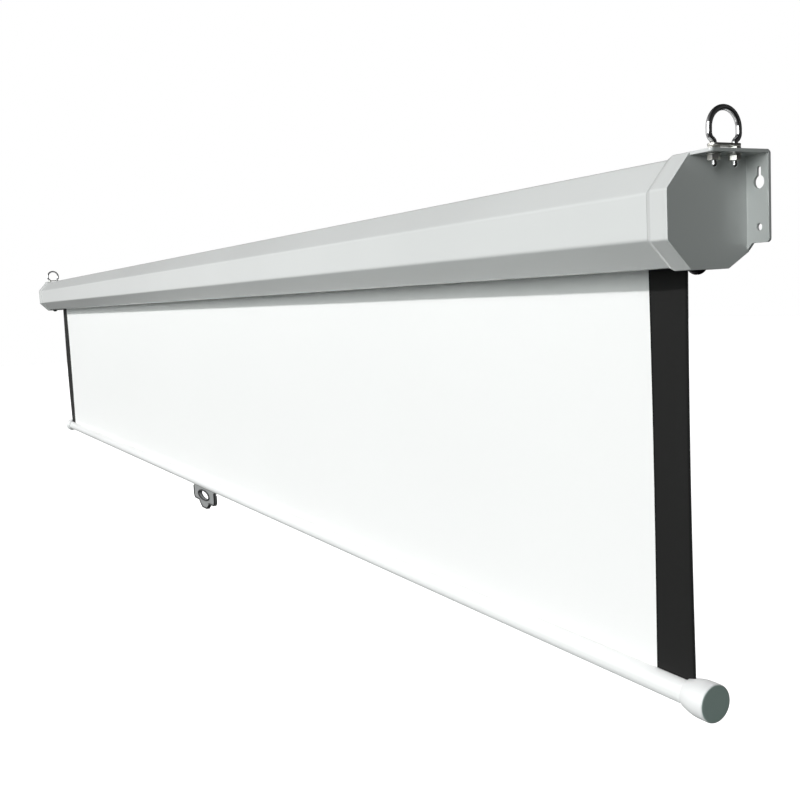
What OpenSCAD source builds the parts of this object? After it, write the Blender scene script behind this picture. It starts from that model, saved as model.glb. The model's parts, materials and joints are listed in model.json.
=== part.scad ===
/* [Screen fabric] */
// Width of the white picture area
image_w = 2440; // [1600:10:3000]
// Height of the picture area when the screen is fully drawn
image_h = 1830; // [900:10:2250]
// Width of each black side border
border_w = 45; // [20:1:80]
// Thickness of the black border coating
border_t = 0.2; // [0.1:0.05:0.4]
// Thickness of the screen fabric
fabric_t = 0.4; // [0.25:0.05:0.6]
// Fabric that stays wound on the tube when the screen is fully drawn
fabric_spare = 150; // [100:10:400]
// Distance of the hanging fabric in front of the wall
fabric_off = 23; // [20:0.5:25]

/* [Case] */
// Depth of the case from the wall to its front face
case_depth = 82; // [80:1:110]
// Height of the end plates
case_height = 85; // [82:1:110]
// Depth of the upper front slope
top_cut_depth = 23; // [12:0.5:30]
// Height of the upper front slope
top_cut_height = 26; // [12:0.5:28]
// Depth of the lower front slope
low_cut_depth = 22.5; // [12:0.5:26]
// Height of the lower front slope
low_cut_height = 22.5; // [12:0.5:28]
// Depth of the lower rear slope
back_cut_depth = 22; // [12:0.5:26]
// Height of the lower rear slope
back_cut_height = 12.5; // [8:0.5:16]
// Sheet thickness of the case
case_t = 1.2; // [0.8:0.1:1.8]
// Outer bend radius of the case and its end collars
bend_r = 3; // [2:0.5:5]
// Width of the slot that the fabric leaves by
slot_w = 18; // [12:1:22]
// Height of the slot's folded lips above the underside
lip_top = 14; // [12:0.5:16]

/* [End collars and end plates] */
// Distance from the fabric's edge to the outer face of an end plate
edge_gap = 40; // [36:0.5:60]
// Width of an end collar, with its sloping edge
collar_w = 24; // [20:0.5:30]
// Width of the collar's sloping edge
taper_w = 6.5; // [3:0.5:9]
// Height that a collar stands proud of the case
collar_t = 2.6; // [1.6:0.1:3.2]
// Sheet thickness of the end plates and their flanges
plate_t = 2.5; // [1.5:0.1:3]
// Reach of the top and wall flanges beyond the end plate
flange_w = 20.5; // [19.5:0.5:32]
// Width of the web below the wall flange
web_w = 4.5; // [2:0.5:8]
// Height of the web below the wall flange
web_h = 5; // [2:0.5:6]
// Height of the wall flange's lower edge above the underside
wall_flange_low = 18; // [15:0.5:21]
// Corner radius of the flanges
flange_r = 3; // [1:0.5:5]
// Distance of the wall holes beyond the end plate
hole_out = 11.5; // [9.5:0.5:13]
// Height of the lower wall holes above the underside
low_hole_h = 29.5; // [26:0.5:36]
// Radius of the lower wall holes
low_hole_r = 2.75; // [2:0.25:3.5]
// Height of the keyhole's round end above the underside
key_h = 62.5; // [54:0.5:65]
// Radius of the keyhole's round end
key_r = 5; // [4:0.25:6]
// Width of the keyhole's slot
key_slot_w = 4.2; // [3:0.1:5]
// Height of the keyhole slot's top above its round end
key_rise = 11.5; // [8:0.5:14]

/* [End screws] */
// Distance of an end screw inside the end plate's outer face
screw_in = 12; // [10:0.5:16]
// Distance of an end screw behind the case's front
screw_back = 40; // [34:0.5:41]
// Shank radius of an end screw
screw_r = 3; // [2:0.25:3.5]
// Head radius of an end screw
screw_head_r = 6.5; // [5:0.25:7.5]
// Head height of an end screw
screw_head_h = 3.5; // [2.5:0.25:4]
// Width across flats of an end screw's nut
screw_nut_af = 10; // [8:0.5:12]
// Height of an end screw's nut
screw_nut_h = 5; // [3:0.5:6]
// Length of screw that shows past its nut
screw_tip = 2; // [1:0.5:4]

/* [Hanging ring] */
// Outer width of the hanging ring
ring_w = 34; // [30:0.5:40]
// Radius of the ring's rod
rod_r = 2.2; // [1.8:0.1:2.6]
// Distance between the ring's two legs
leg_gap = 20.5; // [18:0.5:23]
// Length of the ring's straight sides
ring_side = 3; // [1:0.5:6]
// Radius of the bend at the foot of a straight side
neck_r = 6; // [5:0.5:8]
// Radius of the bend where the loop turns into a leg
leg_bend_r = 3; // [3:0.5:5]
// Distance of the ring beyond the end plate's outer face
ring_out = 10.5; // [9:0.5:12]
// Distance of the ring's middle in front of the wall
ring_off = 36; // [30:0.5:38]
// Width across flats of the ring's nuts
ring_nut_af = 8; // [7:0.5:9]
// Height of a spacer nut above the flange
spacer_nut_h = 2.6; // [2:0.1:4]
// Height of a lock nut below the flange
lock_nut_h = 4; // [3:0.5:5]
// Thickness of the ring's cross plate
cross_t = 2; // [1.5:0.1:3]
// Width of the ring's cross plate
cross_w = 9; // [8:0.5:10]
// Radius of a washer under the flange
washer_r = 5; // [4.6:0.1:5.4]
// Thickness of a washer
washer_t = 1; // [0.6:0.1:1.6]
// Length of leg that shows below its lock nut
leg_tip = 5; // [3:0.5:8]

/* [Roller] */
// Height of the roller's axis above the underside
roller_h = 44; // [42:0.5:48]
// Outer radius of the roller tube
roller_r = 19; // [18:0.25:20]
// Wall thickness of the roller tube
roller_t = 1.2; // [0.8:0.1:2]
// Length of roller tube beyond each fabric edge
roller_over = 6; // [3:0.5:8]
// Radius of an end plug's flange
plug_flange_r = 20.8; // [20.4:0.1:22]
// Thickness of an end plug's flange
plug_flange_t = 3; // [2:0.5:4]
// Length of an end plug inside the tube
plug_len = 25; // [15:1:60]
// Radius of the spring spindle
spindle_r = 5; // [4:0.25:5.5]
// Length of the round part of the spring spindle
spindle_len = 600; // [400:10:900]
// Thickness of the spindle's flat tang
tang_t = 5; // [4:0.25:6]
// Distance between the spindle's round part and its seat
tang_gap = 0.5; // [0.3:0.1:2]
// Radius of the spindle's shoulder
shoulder_r = 10; // [9.5:0.25:12]
// Thickness of the spindle's shoulder
shoulder_t = 4; // [2:0.5:8]
// Inner radius of the torsion spring
spring_in_r = 6.5; // [6:0.25:7]
// Thickness of the torsion spring's coils
spring_t = 2.5; // [1:0.25:3]
// Thickness of the spring anchor
anchor_t = 15; // [8:1:30]
// Radius of the seats that carry the roller
seat_r = 13; // [11:0.5:15]
// Length of a roller seat
seat_len = 20; // [16:0.5:21]
// Radius of the idler pin
idler_r = 4; // [3:0.25:5]
// Distance of the idler pin's end from the end plate
idler_end_gap = 1; // [0.5:0.1:4]
// Wall thickness of the idler bush
bush_t = 3; // [2:0.25:4]
// Radius of the idler bush's flange
bush_flange_r = 10; // [9:0.25:12]
// Thickness of the idler bush's flange
bush_flange_t = 1.5; // [1:0.25:2]

/* [Ratchet lock] */
// Radius of the fixed ratchet wheel
wheel_r = 9; // [8.5:0.1:9.4]
// Thickness of the fixed ratchet wheel
wheel_t = 3.5; // [3:0.1:5]
// Depth of a notch in the ratchet wheel
notch_d = 2.7; // [2.5:0.1:3]
// Thickness of a pawl
pawl_t = 3; // [2:0.1:3.4]
// Width of a pawl's arm and nose
pawl_w = 3; // [2:0.1:3.4]
// Distance of a pawl's arm from the roller's axis when it is engaged
pawl_off = 12.5; // [12.2:0.1:12.7]
// Length of a pawl from its pin to its nose
pawl_len = 12; // [11.5:0.1:12.2]
// Reach of a pawl's nose into its notch
pawl_bite = 2.2; // [1.5:0.1:2.4]
// Angle that a pawl swings from free to engaged
pawl_swing = 18; // [16:1:20]
// Radius of a pawl's pin
pawl_pin_r = 1.5; // [1:0.1:1.8]
// Radius of a pawl pin's head
pin_head_r = 2.4; // [2:0.1:2.8]
// Thickness of a pawl pin's head
pin_head_t = 1; // [0.5:0.1:2]
// Radius of a pawl's round end
pawl_eye_r = 2.6; // [2.4:0.1:3]

/* [Weight bar] */
// Drop of the bar's axis below the underside of the case
bar_drop = 344; // [60:1:1800]
// Outer radius of the bar's tube
bar_r = 11; // [9.5:0.25:13]
// Wall thickness of the bar's tube
bar_t = 1.2; // [0.8:0.1:2]
// Width of the slot along the top of the bar
bar_slot_w = 2.4; // [1.6:0.1:3]
// Distance of the tube's end beyond the fabric's edge
bar_over = 5; // [2:0.5:8]
// Radius of the rod in the fabric's hem
hem_rod_r = 2.5; // [2:0.25:3]
// Distance of a cap's outer face inside the end plate's outer face
cap_in = 19; // [18:0.5:30]
// Length of a bar cap
cap_len = 27.5; // [26:0.5:34]
// Wall of a cap around the tube's end
cap_wall = 1.7; // [1.2:0.1:3]
// Largest radius of a bar cap
cap_r = 16; // [15:0.25:18]
// Radius of a cap's rounded outer edge
cap_edge_r = 1.6; // [0.8:0.1:3]
// Share of a cap's length over which it flares
cap_flare = 0.62; // [0.4:0.01:0.8]

/* [Pull handle] */
// Width of the pull handle
handle_w = 122; // [112:1:150]
// Height of the handle's plate below the bar
handle_h = 25; // [23:0.5:40]
// Thickness of the handle's plate
handle_t = 4; // [3:0.5:6]
// Distance of the handle's plate in front of the bar's axis
handle_off = 4; // [2:0.5:5]
// Corner radius of the handle's plate
handle_corner_r = 9; // [5:0.5:12]
// Width of the handle's middle tongue at its root
tongue_w = 76; // [60:1:90]
// Width of the tongue at its tip
tongue_tip_w = 26; // [18:1:34]
// Height of the tongue below the plate
tongue_h = 12; // [9:0.5:16]
// Corner radius of the tongue
tongue_corner_r = 4; // [2:0.5:6]
// Width of the oval finger hole
finger_w = 60; // [50:1:75]
// Height of the oval finger hole
finger_h = 15.5; // [10:0.5:17]
// Width of the raised rim round the finger hole
rim_w = 2; // [1:0.25:3]
// Height of the raised rim round the finger hole
rim_t = 1; // [0.5:0.1:2]
// Wall of the saddle that holds the handle to the bar
saddle_t = 2.2; // [1.6:0.1:3]
// Distance between the handle's two screws
handle_screw_gap = 96; // [80:1:100]
// Angle of the handle's screws below the horizontal
handle_screw_angle = 35; // [25:1:45]
// Shank radius of a handle screw
handle_screw_r = 1.7; // [1.2:0.1:2]
// Length of a handle screw inside the bar's tube
handle_screw_tip = 1; // [0.5:0.1:4]
// Head radius of a handle screw
handle_head_r = 3.2; // [2.6:0.1:3.6]
// Head height of a handle screw
handle_head_h = 1.8; // [1.2:0.1:2.4]

/* [Clearances] */
// Gap between faces that move past each other
gap = 0.3; // [0.25:0.01:0.4]
// Radial clearance of a shaft or plug in its bore
fit = 0.05; // [0.02:0.01:0.08]
// Clearance of a fixed screw or leg in its hole
hole_play = 0.45; // [0.2:0.05:0.6]

/* [Hidden] */
$fn = 48;
// Number of steps in a bent corner
bend_steps = 5;
// Number of steps in a cap's flare
flare_steps = 12;
// Number of steps round an oval
oval_steps = 60;
// Length that a cut runs past a face
cut = 1;
// Height of the bead where two stretches of a bent rod meet
weld = 0.05;

// Paint and material colours
paint = [0.83, 0.84, 0.84];
plate_paint = [0.78, 0.79, 0.79];
chrome = [0.72, 0.72, 0.73];
steel = [0.6, 0.61, 0.62];
zinc = [0.68, 0.68, 0.66];
black = [0.06, 0.06, 0.06];
fabric_white = [0.95, 0.95, 0.94];
nylon = [0.88, 0.87, 0.82];
bar_white = [0.93, 0.94, 0.94];
handle_grey = [0.55, 0.57, 0.57];

// Heights from the underside and depths from the front, in the part's frame
function up(h) = h - low_hole_h;
function back(d) = d - case_depth;

// Places along the width
fabric_half = image_w / 2 + border_w;
plate_out = fabric_half + edge_gap;
plate_in = plate_out - plate_t;
collar_in = plate_out - collar_w;
tube_end = fabric_half + roller_over;
head_out = tube_end + plug_flange_t;
lock_in = head_out + gap;
seat_in = plate_in - seat_len;
spindle_out = seat_in - tang_gap;
spindle_in = spindle_out - spindle_len;
anchor_in = spindle_in + shoulder_t;
shoulder_out = tube_end - plug_len - gap;
bar_end = fabric_half + bar_over;
cap_out = plate_out - cap_in;
cap_mouth = cap_out - cap_len;

// Places in the cross-section
fabric_y = -fabric_off;
wound_len = image_h + fabric_spare - bar_drop;
roll_r = sqrt(roller_r * roller_r + wound_len * fabric_t / PI);
roller_y = fabric_y - fabric_t / 2 - border_t - gap - roll_r;
roller_z = up(roller_h);
bar_z = up(-bar_drop);
hem_r = hem_rod_r + fit + fabric_t;
hem_z = bar_z + bar_r - bar_t - fit - hem_r;
flange_top = up(case_height);
flange_under = flange_top - plate_t;
ring_y = -ring_off;
ring_x = plate_out + ring_out;

// Direction and crossing helpers for outlines
function unit(v) = v / norm(v);
function left_of(v) = [-v[1], v[0]];
function cross2(a, b) = a[0] * b[1] - a[1] * b[0];
function meet(p, d, q, e) = p + d * (cross2(q - p, e) / cross2(d, e));

// A convex outline moved inwards
function inset(pts, by) = [
    for (i = [0 : len(pts) - 1])
        let (
            a = pts[(i + len(pts) - 1) % len(pts)],
            b = pts[i],
            c = pts[(i + 1) % len(pts)],
            d = unit(b - a),
            e = unit(c - b)
        )
        meet(b + left_of(d) * by, d, b + left_of(e) * by, e)
];

// One bent corner of an outline, as points on an arc
function bent_corner(a, b, c, r) =
    let (
        d = unit(a - b),
        e = unit(c - b),
        half = acos(d * e) / 2,
        centre = b + unit(d + e) * r / sin(half),
        first = b + d * r / tan(half) - centre,
        start = atan2(first[1], first[0]),
        sweep = 180 - 2 * half
    )
    [for (k = [0 : bend_steps])
        centre + r * [cos(start + k * sweep / bend_steps), sin(start + k * sweep / bend_steps)]];

// A convex outline with every corner bent to one radius
function bent(pts, r) = [
    for (i = [0 : len(pts) - 1])
        each bent_corner(pts[(i + len(pts) - 1) % len(pts)], pts[i], pts[(i + 1) % len(pts)], r)
];

// Outline of the end plates, seen along the width
plate_outline = [
    [back(top_cut_depth), up(case_height)],
    [back(0), up(case_height - top_cut_height)],
    [back(0), up(low_cut_height)],
    [back(low_cut_depth), up(0)],
    [-back_cut_depth, up(0)],
    [0, up(back_cut_height)],
    [0, up(case_height)]
];
case_outline = inset(plate_outline, collar_t);
slot_front = fabric_y - slot_w * 0.5;
slot_back = fabric_y + slot_w * 0.5;

// Extrudes an outline drawn in depth and height along the width
module along_x(x0, length) {
    translate([x0, 0, 0]) rotate([90, 0, 90]) linear_extrude(length) children();
}

// Turns an upright cylinder to lie along the width
module rod_x(x0, x1, r) {
    translate([x0, 0, 0]) rotate([0, 90, 0]) cylinder(h = x1 - x0, r = r);
}

// A tube lying along the width
module tube_x(x0, x1, r, inner) {
    difference() {
        rod_x(x0, x1, r);
        rod_x(x0 - cut, x1 + cut, inner);
    }
}

// Moves a shape drawn round the width axis to the roller's axis
module at_roller() {
    translate([0, roller_y, roller_z]) children();
}

// Moves a shape drawn round the width axis to the bar's axis
module at_bar() {
    translate([0, fabric_y, bar_z]) children();
}

// The same shape at both ends
module both_ends() {
    children();
    mirror([1, 0, 0]) children();
}

// A shape of the right end, moved to the left end when side is -1
module end_side(side) {
    if (side > 0) children();
    else mirror([1, 0, 0]) children();
}

// A hexagon nut standing on a level face
module hex_nut(af, h, bore_r) {
    difference() {
        cylinder(h = h, r = af / 2 / cos(30), $fn = 6);
        translate([0, 0, -cut]) cylinder(h = h + 2 * cut, r = bore_r);
    }
}

// Two shapes at the places of the ring's legs
module at_legs() {
    for (s = [-1, 1]) translate([ring_x, ring_y + s * leg_gap / 2, 0]) children();
}

// A rectangle with round corners, centred on the origin
module round_rect(w, h, r) {
    square([w - 2 * r, h], center = true);
    square([w, h - 2 * r], center = true);
    for (sx = [-1, 1], sy = [-1, 1])
        translate([sx * (w / 2 - r), sy * (h / 2 - r)]) circle(r);
}

// Shanks of the end screws, used for the screws and their holes
module at_end_screws() {
    both_ends() translate([plate_out - screw_in, back(screw_back), 0]) children();
}

// Folded sheet case with its fabric slot and lips
module case_section() {
    difference() {
        polygon(bent(case_outline, bend_r));
        polygon(bent(inset(case_outline, case_t), bend_r - case_t));
        translate([slot_front, up(0)]) square([slot_w, lip_top]);
    }
    intersection() {
        polygon(bent(case_outline, bend_r));
        for (y = [slot_front - case_t, slot_back])
            translate([y, up(0)]) square([case_t, lip_top]);
    }
}

module case_shell() {
    color(paint)
    difference() {
        along_x(-plate_in + fit, 2 * (plate_in - fit)) case_section();
        at_end_screws() translate([0, 0, up(0)]) cylinder(h = lip_top, r = screw_r + hole_play);
    }
}

// Collar over one end of the case, sloping down to the case
module end_collar(side) {
    color(paint)
    end_side(side)
    difference() {
        hull() {
            along_x(collar_in, fit) polygon(bent(inset(plate_outline, collar_t - fit), bend_r));
            along_x(collar_in + taper_w, collar_w - taper_w - plate_t) polygon(bent(plate_outline, bend_r));
        }
        along_x(collar_in - cut, collar_w + 2 * cut) polygon(bent(inset(plate_outline, collar_t - fit), bend_r));
        at_end_screws() translate([0, 0, up(-cut)]) cylinder(h = lip_top, r = screw_r + hole_play);
    }
}

// Keyhole and lower hole in a wall flange
module wall_holes() {
    translate([plate_out + hole_out, cut, 0]) rotate([90, 0, 0]) {
        cylinder(h = plate_t + 2 * cut, r = low_hole_r);
        translate([0, up(key_h), 0]) cylinder(h = plate_t + 2 * cut, r = key_r);
        translate([-key_slot_w / 2, up(key_h), 0])
            cube([key_slot_w, key_rise - key_slot_w / 2, plate_t + 2 * cut]);
        translate([0, up(key_h) + key_rise - key_slot_w / 2, 0])
            cylinder(h = plate_t + 2 * cut, r = key_slot_w / 2);
    }
}

// End plate with its folded top flange and wall flange
module end_plate(side) {
    flange_len = plate_t + flange_w;
    top_depth = case_depth - top_cut_depth;
    wall_h = case_height - wall_flange_low;
    color(plate_paint)
    end_side(side)
    difference() {
        union() {
            along_x(plate_in, plate_t) polygon(bent(plate_outline, bend_r));
            // Square corner where the folded flanges meet the plate
            translate([plate_in, -bend_r, flange_top - bend_r]) cube([plate_t, bend_r, bend_r]);
            translate([plate_in + flange_len / 2, -top_depth / 2, flange_under])
                linear_extrude(plate_t) round_rect(flange_len, top_depth, flange_r);
            translate([plate_in, -top_depth, flange_under]) cube([flange_len / 2, top_depth, plate_t]);
            translate([plate_in + flange_len / 2, 0, flange_top - wall_h / 2]) rotate([90, 0, 0])
                linear_extrude(plate_t) round_rect(flange_len, wall_h, flange_r);
            translate([plate_in, -plate_t, flange_top - wall_h]) cube([flange_len / 2, plate_t, wall_h]);
            // Web where the plate's sloping edge runs on into the wall flange
            rotate([90, 0, 0]) linear_extrude(plate_t) polygon([
                [plate_in, flange_top - wall_h - web_h], [plate_out, flange_top - wall_h - web_h],
                [plate_out + web_w, flange_top - wall_h], [plate_out + web_w, flange_top - wall_h + web_h],
                [plate_in, flange_top - wall_h + web_h]]);
        }
        wall_holes();
        at_legs() translate([0, 0, flange_under - cut])
            cylinder(h = plate_t + 2 * cut, r = rod_r + hole_play);
    }
}

// Pan-head screws that hold the collars to the case
module end_screws() {
    dome_r = (screw_head_r * screw_head_r + screw_head_h * screw_head_h) / (2 * screw_head_h);
    shank_top = up(collar_t + case_t + screw_nut_h + screw_tip);
    color(black)
    at_end_screws() {
        intersection() {
            translate([0, 0, up(-screw_head_h) + dome_r]) sphere(dome_r);
            translate([0, 0, up(-screw_head_h)]) cylinder(h = screw_head_h, r = screw_head_r);
        }
        translate([0, 0, up(-fit)]) cylinder(h = shank_top - up(-fit), r = screw_r);
    }
}

module end_screw_nuts() {
    color(zinc)
    at_end_screws() translate([0, 0, up(collar_t + case_t)])
        hex_nut(screw_nut_af, screw_nut_h, screw_r + fit);
}

// Bent rod of one hanging ring: half a circle, two straight sides, four bends and two round-ended legs
module hanging_ring(side) {
    loop_r = ring_w / 2 - rod_r;
    turn = acos(1 - (loop_r - leg_gap / 2) / (neck_r + leg_bend_r));
    leg_top = spacer_nut_h + cross_t;
    neck_z = leg_top + (neck_r + leg_bend_r) * sin(turn);
    leg_low = -(plate_t + washer_t + lock_nut_h + leg_tip);
    color(chrome)
    end_side(side)
    translate([ring_x, ring_y, flange_top]) rotate([90, 0, 90]) {
        translate([0, neck_z + ring_side, 0])
            rotate_extrude(angle = 180) translate([loop_r, 0]) circle(rod_r);
        for (m = [0, 1]) mirror([m, 0, 0]) {
            translate([loop_r, neck_z + ring_side, 0]) sphere(rod_r + weld);
            translate([loop_r, neck_z, 0]) rotate([-90, 0, 0]) cylinder(h = ring_side, r = rod_r);
            translate([loop_r, neck_z, 0]) sphere(rod_r + weld);
            translate([loop_r - neck_r, neck_z, 0]) rotate([0, 0, -turn])
                rotate_extrude(angle = turn) translate([neck_r, 0]) circle(rod_r);
            translate([loop_r - neck_r + neck_r * cos(turn), neck_z - neck_r * sin(turn), 0])
                sphere(rod_r + weld);
            translate([leg_gap / 2 + leg_bend_r, leg_top, 0]) rotate([0, 0, 180 - turn])
                rotate_extrude(angle = turn) translate([leg_bend_r, 0]) circle(rod_r);
            translate([leg_gap / 2, leg_top, 0]) sphere(rod_r + weld);
            translate([leg_gap / 2, leg_low + rod_r, 0]) rotate([-90, 0, 0])
                cylinder(h = leg_top - leg_low - rod_r, r = rod_r);
            translate([leg_gap / 2, leg_low + rod_r, 0]) sphere(rod_r + weld);
        }
    }
}

// Small plates that tie the legs of each ring together
module ring_cross_plates() {
    color(zinc)
    both_ends()
    difference() {
        translate([ring_x, ring_y, flange_top + spacer_nut_h]) linear_extrude(cross_t)
            round_rect(cross_w, leg_gap + cross_w, cross_w / 2 - fit);
        at_legs() translate([0, 0, flange_top]) cylinder(h = spacer_nut_h + cross_t + cut, r = rod_r + fit);
    }
}

module ring_spacer_nuts() {
    color(zinc)
    both_ends() at_legs() translate([0, 0, flange_top])
        hex_nut(ring_nut_af, spacer_nut_h, rod_r + fit);
}

module ring_washers() {
    color(zinc)
    both_ends() at_legs() translate([0, 0, flange_under - washer_t])
        difference() {
            cylinder(h = washer_t, r = washer_r);
            translate([0, 0, -cut]) cylinder(h = washer_t + 2 * cut, r = rod_r + fit);
        }
}

module ring_lock_nuts() {
    color(zinc)
    both_ends() at_legs() translate([0, 0, flange_under - washer_t - lock_nut_h])
        hex_nut(ring_nut_af, lock_nut_h, rod_r + fit);
}

// Seat inside the right end plate that keeps the spring spindle from turning
module spindle_seat() {
    color(nylon)
    at_roller()
    difference() {
        rod_x(seat_in, plate_in, seat_r);
        translate([seat_in - cut, -tang_t / 2 - fit, -spindle_r - fit])
            cube([seat_len + 2 * cut, tang_t + 2 * fit, 2 * (spindle_r + fit)]);
    }
}

// Seat inside the left end plate that holds the idler bush
module idler_seat() {
    color(nylon)
    mirror([1, 0, 0]) at_roller() tube_x(seat_in, plate_in, seat_r, idler_r + bush_t + 2 * fit);
}

module idler_bush() {
    color(black)
    mirror([1, 0, 0]) at_roller()
    difference() {
        union() {
            rod_x(seat_in, plate_in - gap, idler_r + bush_t + fit);
            rod_x(seat_in - bush_flange_t, seat_in, bush_flange_r);
        }
        rod_x(seat_in - bush_flange_t - cut, plate_in + cut, idler_r + fit);
    }
}

// Fixed spindle that the torsion spring winds against
module spring_spindle() {
    color(steel)
    at_roller() {
        rod_x(spindle_in, spindle_out, spindle_r);
        rod_x(shoulder_out - shoulder_t, shoulder_out, shoulder_r);
        intersection() {
            rod_x(spindle_out - cut, plate_in - 2 * fit, spindle_r);
            translate([spindle_out - cut, -tang_t / 2, -spindle_r])
                cube([plate_in - spindle_out + cut, tang_t, 2 * spindle_r]);
        }
    }
}

module torsion_spring() {
    color(zinc)
    at_roller() tube_x(anchor_in + anchor_t + gap, shoulder_out - shoulder_t,
        spring_in_r + spring_t, spring_in_r);
}

// Fixed wheel with four notches that the pawls drop into
module ratchet_wheel() {
    notch_w = pawl_w + 2 * gap + hole_play;
    color(steel)
    at_roller()
    along_x(lock_in, wheel_t)
    difference() {
        circle(wheel_r);
        circle(spindle_r + fit);
        for (a = [0 : 90 : 270]) rotate(a)
            translate([wheel_r - notch_d, -notch_w / 2]) square([notch_d + cut, notch_w]);
    }
}

module roller_tube() {
    color(zinc)
    at_roller() tube_x(-tube_end, tube_end, roller_r, roller_r - roller_t);
}

// Plug in one end of the roller tube, drawn at the right end
module end_plug(bore_r) {
    at_roller()
    difference() {
        union() {
            rod_x(tube_end - plug_len, tube_end, roller_r - roller_t - fit);
            rod_x(tube_end, head_out, plug_flange_r);
        }
        rod_x(tube_end - plug_len - cut, head_out + cut, bore_r);
    }
}

// Places of the two pawl pins round the roller's axis
module at_pawl_pins() {
    at_roller() for (a = [0, 180]) rotate([a, 0, 0]) translate([0, pawl_off, -pawl_len]) children();
}

module ratchet_head() {
    color(nylon)
    difference() {
        end_plug(spindle_r + fit);
        at_pawl_pins() rod_x(tube_end + gap, head_out + cut, pawl_pin_r + fit);
    }
}

module idler_plug() {
    color(nylon)
    mirror([1, 0, 0]) end_plug(idler_r + fit);
}

module idler_pin() {
    color(steel)
    mirror([1, 0, 0]) at_roller() rod_x(tube_end - plug_len, plate_in - idler_end_gap, idler_r);
}

// Plug inside the tube that the far end of the spring turns with
module spring_anchor() {
    color(nylon)
    at_roller() tube_x(anchor_in, anchor_in + anchor_t, roller_r - roller_t - fit, spindle_r + fit);
}

module pawl_pins() {
    pin_head_in = lock_in + pawl_t + gap;
    color(steel)
    at_pawl_pins() {
        rod_x(tube_end + gap, pin_head_in, pawl_pin_r);
        rod_x(pin_head_in, pin_head_in + pin_head_t, pin_head_r);
    }
}

// One pawl, drawn free of the wheel and turned half round for the second one
module pawl(turn) {
    nose_in = wheel_r - pawl_bite;
    arm_out = pawl_off + pawl_w / 2;
    color(zinc)
    at_roller() rotate([turn, 0, 0])
    along_x(lock_in, pawl_t)
    translate([pawl_off, -pawl_len]) rotate(-pawl_swing) translate([-pawl_off, pawl_len])
    difference() {
        union() {
            translate([pawl_off, -pawl_len]) circle(pawl_eye_r);
            translate([pawl_off - pawl_w / 2, -pawl_len]) square([pawl_w, pawl_len + pawl_w / 2]);
            translate([nose_in, -pawl_w / 2]) square([arm_out - nose_in, pawl_w]);
        }
        translate([pawl_off, -pawl_len]) circle(pawl_pin_r + fit);
    }
}

module pawl_rear() {
    pawl(0);
}

module pawl_front() {
    pawl(180);
}

// Fabric still wound on the roller
module fabric_roll() {
    color(fabric_white)
    at_roller() tube_x(-fabric_half, fabric_half, roll_r, roller_r + fit);
}

// Hanging fabric from the roller down to the hem round its rod
module screen_fabric() {
    sheet_low = hem_z + hem_r - fabric_t / 2;
    color(fabric_white) {
        translate([-fabric_half, fabric_y - fabric_t / 2, sheet_low])
            cube([2 * fabric_half, fabric_t, roller_z - sheet_low]);
        translate([0, fabric_y, hem_z])
            tube_x(-fabric_half, fabric_half, hem_r, hem_rod_r + fit);
    }
}

// Black borders coated on the front of the fabric
module masking_borders() {
    border_low = bar_z + bar_r - bar_t;
    color(black)
    both_ends()
    translate([fabric_half - border_w, fabric_y - fabric_t / 2 - border_t, border_low])
        cube([border_w, border_t, roller_z - border_low]);
}

module hem_rod() {
    color(steel)
    translate([0, fabric_y, hem_z]) rod_x(-fabric_half, fabric_half, hem_rod_r);
}

// Places of the handle's screws, drawn outwards from the bar's axis
module at_handle_screws() {
    at_bar() for (s = [-1, 1]) translate([s * handle_screw_gap / 2, 0, 0])
        rotate([-90 - handle_screw_angle, 0, 0]) children();
}

// Slotted tube that weighs the fabric down
module weight_tube() {
    color(bar_white)
    difference() {
        at_bar() along_x(-bar_end, 2 * bar_end)
        difference() {
            circle(bar_r);
            circle(bar_r - bar_t);
            translate([-bar_slot_w / 2, 0]) square([bar_slot_w, bar_r + cut]);
        }
        at_handle_screws() cylinder(h = bar_r + cut, r = handle_screw_r + fit);
    }
}

// Bell-shaped cap on one end of the bar, slit on top for the fabric's edge
module bar_cap(side) {
    mouth_r = bar_r + fit + cap_wall;
    flare_len = cap_len * cap_flare;
    flare = [for (k = [0 : flare_steps])
        [mouth_r + (cap_r - mouth_r) * sin(90 * k / flare_steps), flare_len * k / flare_steps]];
    edge = [for (k = [0 : bend_steps])
        [cap_r - cap_edge_r + cap_edge_r * cos(90 * k / bend_steps),
            cap_len - cap_edge_r + cap_edge_r * sin(90 * k / bend_steps)]];
    socket = bar_end + gap - cap_mouth;
    color(bar_white)
    end_side(side)
    difference() {
        at_bar() translate([cap_mouth, 0, 0]) rotate([0, 90, 0]) difference() {
            rotate_extrude() polygon(concat([[0, 0]], flare, edge, [[0, cap_len]]));
            translate([0, 0, -cut]) cylinder(h = socket + cut, r = bar_r + fit);
        }
        translate([cap_mouth - cut, fabric_y - bar_slot_w / 2, bar_z])
            cube([fabric_half + gap - cap_mouth + cut, bar_slot_w, cap_r + cut]);
    }
}

// Outline of the handle's plate and tongue, from the bar's axis down
module handle_outline() {
    plate_low = -bar_r - handle_h;
    root = plate_low + tongue_corner_r;
    translate([0, plate_low / 2]) round_rect(handle_w, -plate_low, handle_corner_r);
    polygon(bent([
        [-tongue_w / 2, root], [-tongue_tip_w / 2, plate_low - tongue_h],
        [tongue_tip_w / 2, plate_low - tongue_h], [tongue_w / 2, root]], tongue_corner_r));
}

// Oval as points on its outline
function oval(w, h) = [for (k = [0 : oval_steps - 1])
    [w / 2 * cos(360 * k / oval_steps), h / 2 * sin(360 * k / oval_steps)]];

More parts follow.
